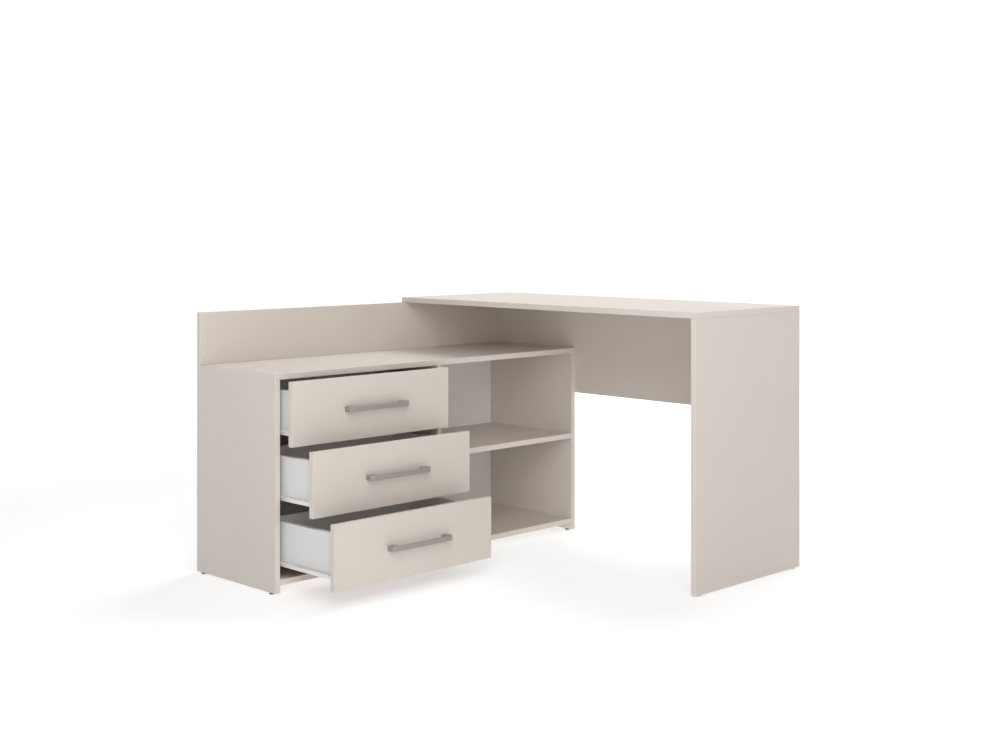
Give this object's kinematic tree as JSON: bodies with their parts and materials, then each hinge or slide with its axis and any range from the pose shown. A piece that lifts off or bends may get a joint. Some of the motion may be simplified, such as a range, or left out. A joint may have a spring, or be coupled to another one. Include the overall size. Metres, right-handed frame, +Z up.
{
  "type": "corner desk",
  "caption": "L-shaped corner desk: writing desk on an end panel and modesty panel, joined to a low return cabinet with open shelves and inset drawers on roller runners.",
  "frame": {"origin": "on the floor, at the centre of the desk's plan", "axes": "+Z up; +Y away from the sitter at the desktop, along the cabinet; +X from the cabinet's back across the desk, the way the drawers open"},
  "size_m": [1.17, 1.25, 0.75],
  "materials": {
    "decor_board": "satin",
    "white_board": "satin",
    "white_hardboard": "matte",
    "runner_steel": "satin",
    "roller_nylon": "satin",
    "satin_handle": "satin",
    "zinc_fittings": "satin",
    "black_glide": "matte",
    "pale_glide": "matte",
    "beech": "matte"
  },
  "bodies": {
    "root": {"desktop": "decor_board", "right_end_panel": "decor_board", "modesty_panel": "decor_board", "upstand": "decor_board", "cabinet_top": "decor_board", "cabinet_near_end": "decor_board", "cabinet_far_end": "decor_board", "cabinet_divider": "decor_board", "cabinet_base": "decor_board", "shelf": "decor_board", "cabinet_back": "white_hardboard", "back_nails": "zinc_fittings", "cabinet_glides": "black_glide", "end_panel_glides": "pale_glide", "shelf_pins": "zinc_fittings", "cam_fixings": "zinc_fittings", "dowels": "beech", "panel_screws": "zinc_fittings", "rail_1_near": "runner_steel", "rail_1_far": "runner_steel", "rail_2_near": "runner_steel", "rail_2_far": "runner_steel", "rail_3_near": "runner_steel", "rail_3_far": "runner_steel"},
    "drawer_1": {"drawer_1_front": "decor_board", "drawer_1_side_near": "white_board", "drawer_1_side_far": "white_board", "drawer_1_back": "white_board", "drawer_1_bottom": "white_hardboard", "drawer_1_handle": "satin_handle", "drawer_1_handle_screws": "zinc_fittings", "drawer_1_runner_near": "runner_steel", "drawer_1_runner_far": "runner_steel", "drawer_1_cam_fixings": "zinc_fittings"},
    "rail_rollers_1": {"rail_1_rollers": "roller_nylon"},
    "rear_rollers_1": {"drawer_1_rear_rollers": "roller_nylon"},
    "drawer_2": {"drawer_2_front": "decor_board", "drawer_2_side_near": "white_board", "drawer_2_side_far": "white_board", "drawer_2_back": "white_board", "drawer_2_bottom": "white_hardboard", "drawer_2_handle": "satin_handle", "drawer_2_handle_screws": "zinc_fittings", "drawer_2_runner_near": "runner_steel", "drawer_2_runner_far": "runner_steel", "drawer_2_cam_fixings": "zinc_fittings"},
    "rail_rollers_2": {"rail_2_rollers": "roller_nylon"},
    "rear_rollers_2": {"drawer_2_rear_rollers": "roller_nylon"},
    "drawer_3": {"drawer_3_front": "decor_board", "drawer_3_side_near": "white_board", "drawer_3_side_far": "white_board", "drawer_3_back": "white_board", "drawer_3_bottom": "white_hardboard", "drawer_3_handle": "satin_handle", "drawer_3_handle_screws": "zinc_fittings", "drawer_3_runner_near": "runner_steel", "drawer_3_runner_far": "runner_steel", "drawer_3_cam_fixings": "zinc_fittings"},
    "rail_rollers_3": {"rail_3_rollers": "roller_nylon"},
    "rear_rollers_3": {"drawer_3_rear_rollers": "roller_nylon"}
  },
  "joints": [
    {"name": "drawer_1_slide", "type": "slide", "parent": "root", "child": "drawer_1", "axis": [1, 0, 0], "range_m": [-0.049, 0.186]},
    {"name": "rail_rollers_1_spin", "type": "hinge", "parent": "root", "child": "rail_rollers_1", "pos_m": [-0.243, -0.3265, 0.4263], "axis": [0, 1, 0], "continuous": true},
    {"name": "rear_rollers_1_spin", "type": "hinge", "parent": "drawer_1", "child": "rear_rollers_1", "pos_m": [-0.472, -0.3265, 0.4243], "axis": [0, 1, 0], "continuous": true},
    {"name": "drawer_2_slide", "type": "slide", "parent": "root", "child": "drawer_2", "axis": [1, 0, 0], "range_m": [-0.138, 0.097]},
    {"name": "rail_rollers_2_spin", "type": "hinge", "parent": "root", "child": "rail_rollers_2", "pos_m": [-0.243, -0.3265, 0.2513], "axis": [0, 1, 0], "continuous": true},
    {"name": "rear_rollers_2_spin", "type": "hinge", "parent": "drawer_2", "child": "rear_rollers_2", "pos_m": [-0.383, -0.3265, 0.2493], "axis": [0, 1, 0], "continuous": true},
    {"name": "drawer_3_slide", "type": "slide", "parent": "root", "child": "drawer_3", "axis": [1, 0, 0], "range_m": [-0.226, 0.009]},
    {"name": "rail_rollers_3_spin", "type": "hinge", "parent": "root", "child": "rail_rollers_3", "pos_m": [-0.243, -0.3265, 0.0763], "axis": [0, 1, 0], "continuous": true},
    {"name": "rear_rollers_3_spin", "type": "hinge", "parent": "drawer_3", "child": "rear_rollers_3", "pos_m": [-0.295, -0.3265, 0.0743], "axis": [0, 1, 0], "continuous": true}
  ],
  "couplings": [
    {"joint": "rail_rollers_1_spin", "follows": "drawer_1_slide", "rad_per_m": 138.89},
    {"joint": "rear_rollers_1_spin", "follows": "drawer_1_slide", "rad_per_m": 138.89},
    {"joint": "rail_rollers_2_spin", "follows": "drawer_2_slide", "rad_per_m": 138.89},
    {"joint": "rear_rollers_2_spin", "follows": "drawer_2_slide", "rad_per_m": 138.89},
    {"joint": "rail_rollers_3_spin", "follows": "drawer_3_slide", "rad_per_m": 138.89},
    {"joint": "rear_rollers_3_spin", "follows": "drawer_3_slide", "rad_per_m": 138.89}
  ]
}
